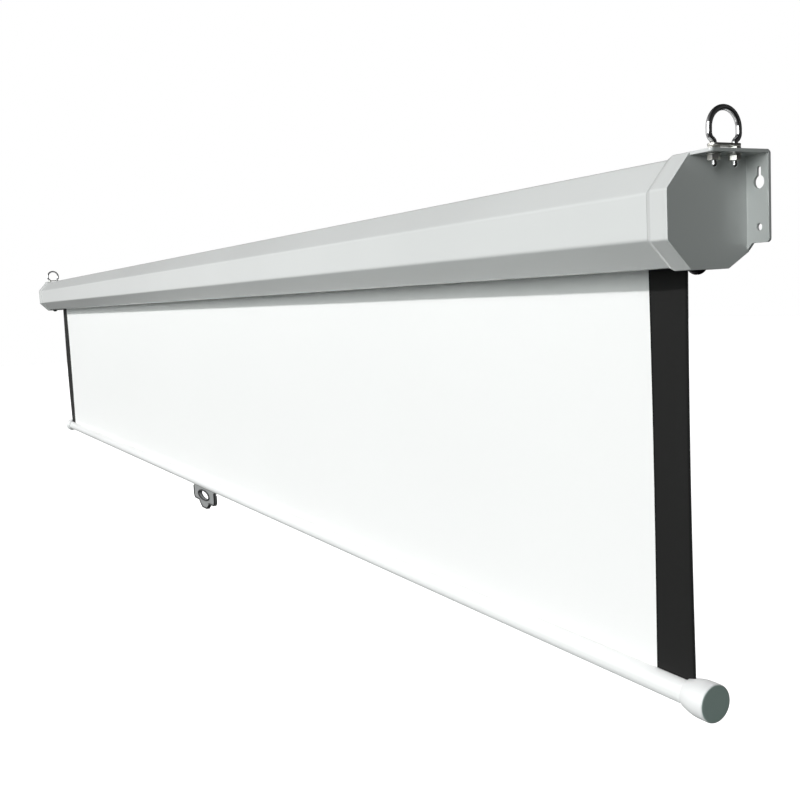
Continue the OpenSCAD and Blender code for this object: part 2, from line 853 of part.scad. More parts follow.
// Plate with an oval finger hole, hung from a saddle that goes under the bar and up its back
module pull_handle() {
    finger_z = -bar_r - saddle_t - rim_w - finger_h / 2;
    front = -handle_off - handle_t / 2;
    color(handle_grey)
    difference() {
        at_bar() difference() {
            union() {
                difference() {
                    rod_x(-handle_w / 2, handle_w / 2, bar_r + saddle_t);
                    translate([-handle_w, front - 2 * bar_r, -2 * bar_r])
                        cube([2 * handle_w, 2 * bar_r, 4 * bar_r]);
                }
                translate([0, front + handle_t, 0]) rotate([90, 0, 0])
                    linear_extrude(handle_t) handle_outline();
                translate([0, front + handle_t + rim_t, finger_z]) rotate([90, 0, 0])
                    linear_extrude(handle_t + 2 * rim_t)
                    polygon(oval(finger_w + 2 * rim_w, finger_h + 2 * rim_w));
            }
            rod_x(-handle_w, handle_w, bar_r + fit);
            translate([-handle_w, -2 * bar_r, 0]) cube([2 * handle_w, 4 * bar_r, 2 * bar_r]);
            translate([0, front + 2 * handle_t, finger_z]) rotate([90, 0, 0])
                linear_extrude(3 * handle_t) polygon(oval(finger_w, finger_h));
        }
        at_handle_screws() {
            cylinder(h = bar_r + saddle_t + cut, r = handle_screw_r + fit);
            translate([0, 0, bar_r + saddle_t - gap]) cylinder(h = handle_head_h, r = handle_head_r + gap);
        }
    }
}

module handle_screws() {
    head_low = bar_r + saddle_t - gap;
    shank_low = bar_r - bar_t - handle_screw_tip;
    color(steel)
    at_handle_screws() {
        translate([0, 0, shank_low]) cylinder(h = head_low - shank_low, r = handle_screw_r);
        translate([0, 0, head_low]) cylinder(h = handle_head_h, r = handle_head_r);
    }
}

case_shell();
end_collar(-1);  // end_collar_left
end_collar(1);  // end_collar_right
end_plate(-1);  // end_plate_left
end_plate(1);  // end_plate_right
end_screws();
end_screw_nuts();
hanging_ring(-1);  // hanging_ring_left
hanging_ring(1);  // hanging_ring_right
ring_cross_plates();
ring_spacer_nuts();
ring_washers();
ring_lock_nuts();
spindle_seat();
idler_seat();
idler_bush();
spring_spindle();
torsion_spring();
ratchet_wheel();
roller_tube();
ratchet_head();
idler_plug();
idler_pin();
spring_anchor();
pawl_pins();
pawl_rear();
pawl_front();
fabric_roll();
screen_fabric();
masking_borders();
hem_rod();
weight_tube();
bar_cap(-1);  // bar_cap_left
bar_cap(1);  // bar_cap_right
pull_handle();
handle_screws();
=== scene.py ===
import json
import math

import bmesh
import bpy
import numpy as np
from mathutils import Matrix, Vector


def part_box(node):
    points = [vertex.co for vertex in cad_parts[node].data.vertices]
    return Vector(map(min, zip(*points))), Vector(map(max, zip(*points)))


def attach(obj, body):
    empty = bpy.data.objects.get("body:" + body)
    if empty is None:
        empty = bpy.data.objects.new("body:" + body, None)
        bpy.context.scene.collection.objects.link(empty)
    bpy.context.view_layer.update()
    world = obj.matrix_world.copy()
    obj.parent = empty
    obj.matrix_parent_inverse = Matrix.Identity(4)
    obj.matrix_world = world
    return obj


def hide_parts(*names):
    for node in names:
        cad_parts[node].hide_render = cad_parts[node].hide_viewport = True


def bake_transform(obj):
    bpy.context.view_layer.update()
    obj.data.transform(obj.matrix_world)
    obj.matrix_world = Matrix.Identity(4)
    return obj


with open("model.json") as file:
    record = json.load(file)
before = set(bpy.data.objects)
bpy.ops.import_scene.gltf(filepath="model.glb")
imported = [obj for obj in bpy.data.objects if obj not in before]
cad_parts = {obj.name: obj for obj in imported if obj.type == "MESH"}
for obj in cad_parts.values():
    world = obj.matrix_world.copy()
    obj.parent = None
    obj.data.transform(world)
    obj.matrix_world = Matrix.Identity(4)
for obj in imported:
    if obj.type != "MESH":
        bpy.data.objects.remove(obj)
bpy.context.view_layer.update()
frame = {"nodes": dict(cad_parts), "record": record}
nodes = frame["nodes"]
scene = bpy.context.scene
scene.view_settings.view_transform = "Standard"

# Camera at the photograph's viewpoint, in metres; SIGHT's columns point right, up and backwards
EYE = (1.86268, -0.61131, -0.03679)
SIGHT = [
    [0.466114, -0.06927, 0.882009],
    [0.88327, 0.093572, -0.459432],
    [-0.050707, 0.9932, 0.1048],
]
camera = bpy.data.objects.new("camera", bpy.data.cameras.new("camera"))
scene.collection.objects.link(camera)
camera.matrix_world = Matrix.Translation(EYE) @ Matrix(SIGHT).to_4x4()
camera.data.sensor_width = 36
camera.data.lens = 45.962
camera.data.shift_x = 0.02493
camera.data.shift_y = 0.00497
camera.data.clip_start = 0.01
camera.data.clip_end = 100
scene.camera = camera

# Places that the CAD gives, in metres
tube_low, tube_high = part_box("roller_tube")
AXIS_Y = (tube_low[1] + tube_high[1]) / 2
AXIS_Z = (tube_low[2] + tube_high[2]) / 2
fabric_low, fabric_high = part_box("screen_fabric")
HALF = fabric_high[0]
SHEET_Y = (fabric_low[1] + fabric_high[1]) / 2
HEM_R = (fabric_high[1] - fabric_low[1]) / 2
HEM_Z = fabric_low[2] + HEM_R
cap_low, cap_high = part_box("bar_cap_right")
CAP_FACE = cap_high[0]
BAR_Z = (cap_low[2] + cap_high[2]) / 2

# Sizes of the cloth, in metres
BORDER = 0.045
CLOTH_THICK = 0.0005
THREAD_PITCH = 0.0011
THREAD_RELIEF = 0.00006

# Distance between the bands of a wave texture at scale 1
WAVE_LENGTH = 0.314


# Node trees
def tree_of(owner):
    owner.use_nodes = True
    owner.node_tree.nodes.clear()
    return owner.node_tree


def node(tree, kind, inputs=None, **settings):
    """A shader node; inputs maps a socket to a value or to another node's output socket."""
    made = tree.nodes.new(kind)
    for key, value in settings.items():
        setattr(made, key, value)
    for key, value in (inputs or {}).items():
        if isinstance(value, bpy.types.NodeSocket):
            tree.links.new(value, made.inputs[key])
        else:
            made.inputs[key].default_value = value
    return made


def rgba(c):
    return (c[0], c[1], c[2], 1.0)


def maths(tree, operation, *values):
    inputs = dict(enumerate(values))
    return node(tree, "ShaderNodeMath", inputs, operation=operation).outputs["Value"]


def dot_product(tree, first, second):
    inputs = {0: first, 1: second}
    return node(tree, "ShaderNodeVectorMath", inputs, operation="DOT_PRODUCT").outputs["Value"]


def share_of(tree, value, start, end):
    """0 to 1 while the value goes from start to end."""
    inputs = {"Value": value, "From Min": start, "From Max": end}
    return node(tree, "ShaderNodeMapRange", inputs).outputs["Result"]


def ramp(tree, factor, stops):
    """Colours or greys by the factor, from a list of (place, value)."""
    made = node(tree, "ShaderNodeValToRGB", {"Fac": factor})
    elements = made.color_ramp.elements
    while len(elements) < len(stops):
        elements.new(0.5)
    for element, (place, colour) in zip(elements, stops):
        element.position = place
        element.color = rgba(colour if hasattr(colour, "__len__") else (colour, colour, colour))
    return made.outputs["Color"]


def mixed(tree, factor, first, second, blend="MIX"):
    inputs = {"Factor": factor, "A": first, "B": second}
    made = node(tree, "ShaderNodeMix", inputs, data_type="RGBA", blend_type=blend)
    return made.outputs["Result"]


def places(tree, scale=(1, 1, 1)):
    """Metres in the object's own frame, scaled."""
    coords = node(tree, "ShaderNodeTexCoord").outputs["Object"]
    return node(tree, "ShaderNodeMapping", {"Vector": coords, "Scale": scale}).outputs["Vector"]


def from_middle(tree):
    """Metres from the middle of the width, to either side."""
    coords = node(tree, "ShaderNodeTexCoord").outputs["Object"]
    split = node(tree, "ShaderNodeSeparateXYZ", {"Vector": coords})
    return maths(tree, "ABSOLUTE", split.outputs["X"])


def noise(tree, scale, detail, stretch=(1, 1, 1)):
    inputs = {"Vector": places(tree, stretch), "Scale": scale, "Detail": detail}
    return node(tree, "ShaderNodeTexNoise", inputs).outputs["Fac"]


def material(name, build):
    made = bpy.data.materials.new(name)
    tree = tree_of(made)
    bsdf = node(tree, "ShaderNodeBsdfPrincipled")
    out = node(tree, "ShaderNodeOutputMaterial")
    tree.links.new(bsdf.outputs["BSDF"], out.inputs["Surface"])
    build(tree, bsdf)
    made.diffuse_color = bsdf.inputs["Base Color"].default_value
    return made


# Parts that several materials share
def bump(tree, bsdf, height, distance, strength, bend=0.0):
    """Fine relief, on edges that look rounded to the radius bend."""
    inputs = {"Height": height, "Distance": distance, "Strength": strength}
    made = node(tree, "ShaderNodeBump", inputs)
    if bend:
        soft = node(tree, "ShaderNodeBevel", {"Radius": bend}, samples=6)
        tree.links.new(soft.outputs["Normal"], made.inputs["Normal"])
        tree.links.new(soft.outputs["Normal"], bsdf.inputs["Coat Normal"])
    tree.links.new(made.outputs["Normal"], bsdf.inputs["Normal"])


def mottled(tree, bsdf, colour, spread, scale, rough, rough_spread, stretch=(1, 1, 1)):
    """Base colour and roughness that vary gently over the surface."""
    cloud = noise(tree, scale, 4.0, stretch)
    dark = [c * (1 - spread) for c in colour]
    light = [min(1.0, c * (1 + spread)) for c in colour]
    tint = ramp(tree, cloud, [(0.3, dark), (0.7, light)])
    gloss = ramp(tree, cloud, [(0.25, rough - rough_spread), (0.75, rough + rough_spread)])
    tree.links.new(tint, bsdf.inputs["Base Color"])
    tree.links.new(gloss, bsdf.inputs["Roughness"])


def edges(tree, radius):
    """1 on edges and 0 on flat faces, from the cosine between the rounded and the plain normal."""
    soft = node(tree, "ShaderNodeBevel", {"Radius": radius}, samples=4)
    plain = node(tree, "ShaderNodeNewGeometry")
    cosine = dot_product(tree, soft.outputs["Normal"], plain.outputs["Normal"])
    return share_of(tree, cosine, 0.995, 0.93)


def clear_coat(bsdf, weight):
    """The smooth skin of a baked paint, which dims the colour where it is seen from the side."""
    bsdf.inputs["Coat Weight"].default_value = weight
    bsdf.inputs["Coat Roughness"].default_value = 0.2
    bsdf.inputs["Coat IOR"].default_value = 1.5


# Materials: functions that fill a tree, or that make such a function
def powder_paint(colour, rough, bend, coat, shine):
    def build(tree, bsdf):
        mottled(tree, bsdf, colour, spread=0.018, scale=5, rough=rough, rough_spread=0.04)
        bsdf.inputs["Specular IOR Level"].default_value = shine
        clear_coat(bsdf, coat)
        bump(tree, bsdf, noise(tree, 900, 3.0), distance=0.00004, strength=0.6, bend=bend)
    return build


def wear_and_highlight_paint(colour, rough, bend):
    """Paint that is lighter along its cut edges: partly thinner worn paint, partly a painted
    highlight.
    """
    def build(tree, bsdf):
        cloud = noise(tree, 6, 4.0)
        dark = [c * 0.98 for c in colour]
        light = [c * 1.02 for c in colour]
        bare_and_highlight = [min(1, c * 1.35) for c in colour]
        body = ramp(tree, cloud, [(0.3, dark), (0.7, light)])
        # Lighter edges broken up by noise: worn paint and a painted highlight along the edges
        wear_and_highlight = maths(tree, "MULTIPLY", edges(tree, 0.0007), noise(tree, 140, 3.0))
        tree.links.new(mixed(tree, wear_and_highlight, body, rgba(bare_and_highlight)), bsdf.inputs["Base Color"])
        bsdf.inputs["Specular IOR Level"].default_value = 0.3
        clear_coat(bsdf, 1.0)
        gloss = ramp(tree, cloud, [(0.25, rough - 0.04), (0.75, rough + 0.05)])
        tree.links.new(gloss, bsdf.inputs["Roughness"])
        bump(tree, bsdf, noise(tree, 900, 3.0), distance=0.00004, strength=0.6, bend=bend)
    return build


def metal(colour, rough, spread, scale, stretch=(1, 1, 1), grain=0.00002):
    def build(tree, bsdf):
        mottled(tree, bsdf, colour, spread, scale, rough, rough_spread=0.05, stretch=stretch)
        bsdf.inputs["Metallic"].default_value = 1.0
        bump(tree, bsdf, noise(tree, 400, 3.0, stretch), distance=grain, strength=0.7)
    return build


def plated(colour, rough):
    """Zinc plate: small crystals and a faint yellow cast in places."""
    def build(tree, bsdf):
        inputs = {"Vector": places(tree), "Scale": 1400.0}
        crystals = node(tree, "ShaderNodeTexVoronoi", inputs).outputs["Distance"]
        yellowed = (colour[0] * 1.02, colour[1] * 0.99, colour[2] * 0.9)
        tint = ramp(tree, noise(tree, 90, 4.0), [(0.3, colour), (0.75, yellowed)])
        gloss = ramp(tree, crystals, [(0.0, rough - 0.06), (0.6, rough + 0.08)])
        tree.links.new(tint, bsdf.inputs["Base Color"])
        tree.links.new(gloss, bsdf.inputs["Roughness"])
        bsdf.inputs["Metallic"].default_value = 1.0
        bump(tree, bsdf, crystals, distance=0.00002, strength=0.5)
    return build


def plastic(colour, rough):
    def build(tree, bsdf):
        mottled(tree, bsdf, colour, spread=0.02, scale=25, rough=rough, rough_spread=0.05)
        bump(tree, bsdf, noise(tree, 1500, 2.0), distance=0.00003, strength=0.6)
    return build


def weave(tree):
    """Height of a plain weave, seen along the depth."""
    vector = places(tree)
    threads = []
    for direction in ("X", "Z"):
        inputs = {
            "Vector": vector, "Scale": WAVE_LENGTH / THREAD_PITCH,
            "Distortion": 0.4, "Detail": 1.0, "Detail Scale": 2.0,
        }
        wave = node(tree, "ShaderNodeTexWave", inputs, bands_direction=direction)
        threads.append(wave.outputs["Fac"])
    return maths(tree, "MULTIPLY", *threads)


# What is left of the colour across a black border, from the picture's side to the cloth's edge:
# painted shade, darkest along both edges
BORDER_EDGE_SHADE = [(0.0, 0.3), (0.035, 0.35), (0.06, 1.0), (0.92, 1.0), (0.95, 0.2), (1.0, 0.15)]


def cloth(colour, rough, sheen, spread, shade_edges=False):
    """Woven cloth; a border can be given painted shade, darkest along both its edges."""
    def build(tree, bsdf):
        mottled(tree, bsdf, colour, spread, scale=3, rough=rough, rough_spread=0.04)
        if shade_edges:
            # Painted shade along both edges of the black border
            base = bsdf.inputs["Base Color"]
            across = share_of(tree, from_middle(tree), HALF - BORDER, HALF)
            woven, shade = base.links[0].from_socket, ramp(tree, across, BORDER_EDGE_SHADE)
            tree.links.new(mixed(tree, 1.0, woven, shade, "MULTIPLY"), base)
        bsdf.inputs["Specular IOR Level"].default_value = 0.15
        bsdf.inputs["Sheen Weight"].default_value = sheen
        bsdf.inputs["Sheen Roughness"].default_value = 0.5
        bump(tree, bsdf, weave(tree), distance=THREAD_RELIEF, strength=0.8)
    return build


def wound_cloth(tree, bsdf):
    """White cloth with black ends on the roll, and its turns as rings on the end faces."""
    end = maths(tree, "GREATER_THAN", from_middle(tree), HALF - BORDER)
    tint = mixed(tree, end, rgba((0.9, 0.9, 0.89)), rgba((0.014, 0.014, 0.013)))
    tree.links.new(tint, bsdf.inputs["Base Color"])
    bsdf.inputs["Roughness"].default_value = 0.8
    inputs = {
        "Vector": node(tree, "ShaderNodeTexCoord").outputs["Object"],
        "Location": (0, -AXIS_Y, -AXIS_Z),
    }
    centred = node(tree, "ShaderNodeMapping", inputs).outputs["Vector"]
    inputs = {"Vector": centred, "Scale": WAVE_LENGTH / CLOTH_THICK}
    turns = node(tree, "ShaderNodeTexWave", inputs, wave_type="RINGS", rings_direction="X")
    bump(tree, bsdf, turns.outputs["Fac"], distance=0.0002, strength=0.8)


def cap_plastic(tree, bsdf):
    """White moulded plastic; its flat end face inside the rounded edge is painted a greenish grey
    as painted shade.
    """
    # The end face's grey is painted shade, for the side that faces away from the lights
    face = share_of(tree, from_middle(tree), CAP_FACE - 0.0004, CAP_FACE - 0.0002)
    tint = mixed(tree, face, rgba((0.93, 0.935, 0.935)), rgba((0.46, 0.57, 0.535)))
    gloss = ramp(tree, noise(tree, 30, 3.0), [(0.25, 0.33), (0.75, 0.42)])
    tree.links.new(tint, bsdf.inputs["Base Color"])
    tree.links.new(gloss, bsdf.inputs["Roughness"])
    bump(tree, bsdf, noise(tree, 1800, 2.0), distance=0.00003, strength=0.6)


def handle_plastic(tree, bsdf):
    """Grey moulded plastic, darkened along its edges as painted shade."""
    cloud = noise(tree, 25, 4.0)
    body = ramp(tree, cloud, [(0.3, (0.285, 0.29, 0.29)), (0.7, (0.315, 0.32, 0.32))])
    # Painted shade: near black along the edges
    tint = mixed(tree, edges(tree, 0.0012), body, rgba((0.07, 0.072, 0.072)))
    gloss = ramp(tree, cloud, [(0.25, 0.42), (0.75, 0.55)])
    tree.links.new(tint, bsdf.inputs["Base Color"])
    tree.links.new(gloss, bsdf.inputs["Roughness"])
    bump(tree, bsdf, noise(tree, 1300, 2.0), distance=0.00004, strength=0.7)


def floor_plain(tree, bsdf):
    """A pale floor that is a little bright of itself, so that it has no visible end."""
    bsdf.inputs["Base Color"].default_value = (0.9, 0.9, 0.9, 1)
    bsdf.inputs["Roughness"].default_value = 0.9
    bsdf.inputs["Emission Color"].default_value = (1, 1, 1, 1)
    bsdf.inputs["Emission Strength"].default_value = 0.62


# The name of each look, with the name of its material and what fills it
LOOKS = {
    "case_paint": ("case_paint_coat", powder_paint(
        (0.705, 0.718, 0.711), rough=0.45, bend=0.004, coat=1.0, shine=0.3)),
    "collar_paint": ("collar_paint_coat", powder_paint(
        (0.685, 0.697, 0.69), rough=0.45, bend=0.0012, coat=1.0, shine=0.3)),
    "bar_paint": ("white_bar_paint", powder_paint(
        (0.955, 0.96, 0.955), rough=0.4, bend=0.0, coat=0.0, shine=0.25)),
    "plate_paint": ("plate_paint_coat", wear_and_highlight_paint((0.70, 0.715, 0.708), rough=0.45, bend=0.0006)),
    "black_screw": ("black_oxide", metal(
        (0.035, 0.035, 0.037), rough=0.38, spread=0.2, scale=200)),
    "ring_chrome": ("polished_chrome", metal(
        (0.80, 0.80, 0.81), rough=0.07, spread=0.02, scale=40, grain=0.000004)),
    "bright_steel": ("turned_steel", metal(
        (0.58, 0.585, 0.59), rough=0.28, spread=0.05, scale=30, stretch=(1, 12, 12))),
    "spring_steel": ("oiled_spring_steel", metal(
        (0.36, 0.35, 0.34), rough=0.33, spread=0.12, scale=160)),
    "zinc_plate": ("zinc_crystals", plated((0.74, 0.74, 0.725), rough=0.3)),
    "tube_zinc": ("galvanised_tube", plated((0.55, 0.56, 0.57), rough=0.4)),
    "moulded_nylon": ("natural_nylon", plastic((0.80, 0.79, 0.73), rough=0.48)),
    "bush_plastic": ("black_bush", plastic((0.03, 0.03, 0.03), rough=0.45)),
    # The handle's bead is near black as painted shade
    "handle_rim": ("handle_rim_painted_shade", plastic((0.045, 0.046, 0.046), rough=0.5)),
    "handle_plastic": ("grey_handle_plastic", handle_plastic),
    "cap_plastic": ("white_cap_plastic", cap_plastic),
    "screen_white": ("white_screen_cloth", cloth(
        (0.95, 0.95, 0.945), rough=0.85, sheen=0.05, spread=0.006)),
    "border_black": ("black_border_coating", cloth(
        (0.0125, 0.0125, 0.0122), rough=0.7, sheen=0.02, spread=0.15, shade_edges=True)),
    "roll_white": ("wound_screen_cloth", wound_cloth),
    "floor": ("floor_look", floor_plain),
}
MATERIALS = {look: material(name, build) for look, (name, build) in LOOKS.items()}

# Bodies and material slots of the CAD nodes
record = frame["record"]
body_of = {n: body for body, members in record["behaviour"]["bodies"].items() for n in members}
slot_of = {subpart["node"]: subpart["material_slot"] for subpart in record["subparts"]}


def dress(name, look=None, width=0.0):
    """Gives a CAD node its material, and edges rounded to that width."""
    o = nodes[name]
    for slot in o.material_slots:
        slot.material = MATERIALS[look or slot_of[name]]
    if width:
        o.modifiers.new("weld", "WELD").merge_threshold = 0.00001
        edge = o.modifiers.new("edges", "BEVEL")
        edge.width = width
        edge.segments = 2
        edge.limit_method = "ANGLE"
        edge.angle_limit = math.radians(30)
        edge.use_clamp_overlap = True
        edge.harden_normals = True


# CAD nodes that stay, by the width of their rounded edges
ROUND = {
    0.0002: ["ring_washers", "roller_tube", "pawl_pins", "weight_tube"],
    0.0003: ["case_shell", "ratchet_wheel", "pawl_rear", "pawl_front", "bar_cap_left",
             "bar_cap_right"],
    0.0004: ["end_collar_left", "end_collar_right", "end_plate_left", "end_plate_right",
             "ring_cross_plates", "idler_bush", "spring_spindle", "idler_pin", "hem_rod"],
    0.0006: ["ratchet_head", "idler_plug", "spring_anchor", "pull_handle"],
    0.0008: ["spindle_seat", "idler_seat"],
}
for width, names in ROUND.items():
    for name in names:
        dress(name, "collar_paint" if "collar" in name else None, width)
dress("fabric_roll", "roll_white")
dress("hanging_ring_left")
dress("hanging_ring_right")


# Mesh building; a part is a list of points and a list of faces
def mesh_object(name, part, looks=(), sharp=None, face_looks=None):
    """An object that is smooth over edges below the angle sharp, or flat all over without one."""
    points, faces = part
    data = bpy.data.meshes.new(name)
    data.from_pydata([tuple(map(float, p)) for p in points], [], faces)
    for look in looks:
        data.materials.append(MATERIALS[look])
    if face_looks is not None:
        data.polygons.foreach_set("material_index", face_looks)
    work = bmesh.new()
    work.from_mesh(data)
    bmesh.ops.recalc_face_normals(work, faces=work.faces)
    work.to_mesh(data)
    work.free()
    if sharp is not None:
        data.shade_smooth()
        data.set_sharp_from_angle(angle=math.radians(sharp))
    o = bpy.data.objects.new(name, data)
    scene.collection.objects.link(o)
    return o


def add_piece(name, part, look, sharp, body, replaced=()):
    """A visual piece on a body, in place of the CAD nodes replaced."""
    o = mesh_object(name, part, [look], sharp)
    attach(o, body)
    if replaced:
        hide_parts(*replaced)


def lofted(loops, ring=False):
    """A skin through loops of equally many points; in a ring the last joins the first."""
    n = len(loops[0])
    points = [p for loop in loops for p in loop]
    faces = []
    for i in range(len(loops) if ring else len(loops) - 1):
        a, b = i * n, ((i + 1) % len(loops)) * n
        faces += [(a + k, a + (k + 1) % n, b + (k + 1) % n, b + k) for k in range(n)]
    if not ring:
        faces.append(tuple(reversed(range(n))))
        faces.append(tuple(range(len(points) - n, len(points))))
    return points, faces


def level_loop(radii, z):
    """A loop of points round Z, one at each of the radii."""
    n = len(radii)
    turns = [2 * math.pi * k / n for k in range(n)]
    return [(r * math.cos(a), r * math.sin(a), z) for r, a in zip(radii, turns)]


def joined(parts):
    points, faces = [], []
    for some_points, some_faces in parts:
        base = len(points)
        points += list(some_points)
        faces += [tuple(i + base for i in face) for face in some_faces]
    return points, faces


def moved(part, matrix):
    points, faces = part
    return [tuple(matrix @ Vector(p)) for p in points], faces


def carved(solid, cutters):
    """The solid with the cutters taken away."""
    body = mesh_object("blank", solid)
    tools = []
    for cutter in cutters:
        tool = mesh_object("cutter", cutter)
        change = body.modifiers.new("cut", "BOOLEAN")
        change.object = tool
        change.operation = "DIFFERENCE"
        change.solver = "EXACT"
        tools.append(tool)
    bpy.context.view_layer.update()
    depsgraph = bpy.context.evaluated_depsgraph_get()
    result = bpy.data.meshes.new_from_object(body.evaluated_get(depsgraph))
    points = [tuple(v.co) for v in result.vertices]
    faces = [tuple(p.vertices) for p in result.polygons]
    for o in tools + [body]:
        bpy.data.objects.remove(o)
    return points, faces


def solids_of(name):
    """Lowest and highest corners of each separate solid in a CAD node."""
    work = bmesh.new()
    work.from_mesh(nodes[name].data)
    bmesh.ops.remove_doubles(work, verts=work.verts, dist=1e-6)
    left = set(work.verts)
    found = []
    while left:
        todo = [left.pop()]
        group = list(todo)
        while todo:
            v = todo.pop()
            for e in v.link_edges:
                w = e.other_vert(v)
                if w in left:
                    left.discard(w)
                    todo.append(w)
                    group.append(w)
        corners = np.array([v.co for v in group])
        found.append((corners.min(axis=0), corners.max(axis=0)))
    work.free()
    return sorted(found, key=lambda box: (round(float(box[0][0]), 4), round(float(box[0][1]), 4)))


def to_middle(lo, hi, z):
    """The move to the middle of a solid, seen from above, at the height z."""
    return Matrix.Translation(((lo[0] + hi[0]) / 2, (lo[1] + hi[1]) / 2, z))


# Fasteners
def nut(across, height, bore):
    """A hexagon nut standing on z = 0 with corners on X, chamfered and countersunk at both ends."""
    n = 72
    chamfer, countersink = 0.965, 0.105
    flat = across / 2
    corner = flat / math.cos(math.pi / 6)
    end_circle = flat * chamfer
    slope = math.tan(math.radians(30))
    fall = (corner - end_circle) * slope
    sink = bore * countersink
    turns = [2 * math.pi * k / n for k in range(n)]
    hexagon = [flat / math.cos((a % (math.pi / 3)) - math.pi / 6) for a in turns]
    levels = [fall * k / 4 for k in range(5)]
    levels += [height - z for z in reversed(levels)]
    loops = [level_loop([bore + sink] * n, 0.0)]
    for z in levels:
        reach = end_circle + min(z, height - z) / slope
        loops.append(level_loop([min(r, reach) for r in hexagon], z))
    for r, z in ((bore + sink, height), (bore, height - sink), (bore, sink)):
        loops.append(level_loop([r] * n, z))
    return lofted(loops, ring=True)


def thread(root, crest, pitch, z0, z1, n, steps):
    """A thread round Z that runs out at both ends, with n points round and steps in a turn."""
    count = max(2, int(round((z1 - z0) / pitch * steps)))
    loops = []
    for i in range(count + 1):
        z = z0 + (z1 - z0) * i / count
        run_out = min(1.0, min(z - z0, z1 - z) / pitch)
        radii = []
        for k in range(n):
            phase = (z / pitch - k / n) % 1.0
            lift = max(0.0, 1 - abs(2 * phase - 1) * 1.25)
            radii.append(root + (crest - root) * lift * run_out)
        loops.append(level_loop(radii, z))
    return lofted(loops)


def cross_cutters(reach, width, depth, top):
    """Two crossed wedges that sink from z = top down by depth."""
    parts = []
    for crossed in (False, True):
        loops = []
        for share, z in ((1.0, top + 0.0005), (1.0, top), (0.35, top - depth)):
            a, b = reach * share, width / 2 * (0.75 + 0.25 * share)
            corners = [(-a, -b), (a, -b), (a, b), (-a, b)]
            if crossed:
                corners = [(-y, x) for x, y in corners]
            loops.append([(x, y, z) for x, y in corners])
        parts.append(lofted(loops))
    return parts


def dome_screw(head_r, head_h, shank_r, shank_len, recess):
    """A dome-head screw with a cross recess, its head's top at z = 0 and its shank along -Z."""
    ball = (head_r * head_r + head_h * head_h) / (2 * head_h)
    reach = math.asin(min(1.0, head_r / ball))
    dome_steps, around, point = 12, 64, 0.0006
    profile = [(0.0001, 0.0)]
    for k in range(1, dome_steps + 1):
        a = reach * k / dome_steps
        profile.append((ball * math.sin(a), -ball * (1 - math.cos(a))))
    end = -head_h - shank_len
    profile += [(head_r * 0.985, -head_h), (shank_r, -head_h)]
    profile += [(shank_r, end + point), (shank_r * 0.72, end)]
    solid = lofted([level_loop([r] * around, z) for r, z in profile])
    cutters = cross_cutters(recess, width=recess * 0.34, depth=recess * 0.75, top=0.0001)
    root, crest, pitch = shank_r * 0.9, shank_r * 1.03, shank_r / 3.0
    grip = thread(root, crest, pitch, end + 0.0008, -head_h - 0.0005, n=20, steps=5)
    return joined([carved(solid, cutters), grip])


# Nuts with chamfered corners
LEG_BORE, SCREW_BORE = 0.00225, 0.00305
NUT_BORES = {
    "ring_lock_nuts": LEG_BORE, "ring_spacer_nuts": LEG_BORE, "end_screw_nuts": SCREW_BORE,
}
for name, bore in NUT_BORES.items():
    parts = []
    for i, (lo, hi) in enumerate(solids_of(name)):
        # Every second nut is tightened with a corner to the front
        turn = Matrix.Rotation(math.radians(30 * (i % 2)), 4, "Z")
        solid = nut(hi[1] - lo[1], hi[2] - lo[2], bore)
        parts.append(moved(solid, to_middle(lo, hi, lo[2]) @ turn))
    add_piece(name + "_chamfered", joined(parts), "zinc_plate", 25, body_of[name], [name])

# Threads on the rings' four legs, from above their plain tips into the lock nuts
LEG_ROOT, LEG_CREST, LEG_PITCH = 0.00214, 0.00239, 0.0008
LEG_TIP, IN_NUT = 0.0022, 0.0004
leg_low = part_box("hanging_ring_right")[0][2]
parts = []
for lo, hi in solids_of("ring_lock_nuts"):
    z0, z1 = leg_low + LEG_TIP, lo[2] + IN_NUT
    grip = thread(LEG_ROOT, LEG_CREST, LEG_PITCH, z0, z1, n=24, steps=6)
    parts.append(moved(grip, to_middle(lo, hi, 0)))
add_piece("ring_leg_threads", joined(parts), "ring_chrome", 60, "case")

# End screws, seen below the case with their heads down
HEAD_H = 0.0035
boxes = solids_of("end_screws")
lo, hi = boxes[0]
blank = dome_screw(head_r=(hi[0] - lo[0]) / 2, head_h=HEAD_H, shank_r=0.003,
                   shank_len=(hi[2] - lo[2]) - HEAD_H, recess=0.0036)
head_down = Matrix.Rotation(math.pi, 4, "X") @ Matrix.Rotation(0.5, 4, "Z")
parts = [moved(blank, to_middle(lo, hi, lo[2]) @ head_down) for lo, hi in boxes]
add_piece("end_screws_crosshead", joined(parts), "black_screw", 35,
          body_of["end_screws"], ["end_screws"])

# Handle screws, set into the saddle below the bar, with their heads down and back
BAR_R, SADDLE, SUNK, HANDLE_HEAD_H = 0.011, 0.0022, 0.0003, 0.0018
blank = dome_screw(head_r=0.0032, head_h=HANDLE_HEAD_H, shank_r=0.0017,
                   shank_len=0.0039, recess=0.0019)
below_level = math.radians(35)
out = Vector((0, math.cos(below_level), -math.sin(below_level)))
aim = out.to_track_quat("Z", "Y").to_matrix().to_4x4()
parts = []
for lo, hi in solids_of("handle_screws"):
    on_axis = Vector(((lo[0] + hi[0]) / 2, SHEET_Y, BAR_Z))
    head_top = on_axis + out * (BAR_R + SADDLE - SUNK + HANDLE_HEAD_H)
    parts.append(moved(blank, Matrix.Translation(head_top) @ aim))
add_piece("handle_screws_crosshead", joined(parts), "bright_steel", 35,
          body_of["handle_screws"], ["handle_screws"])
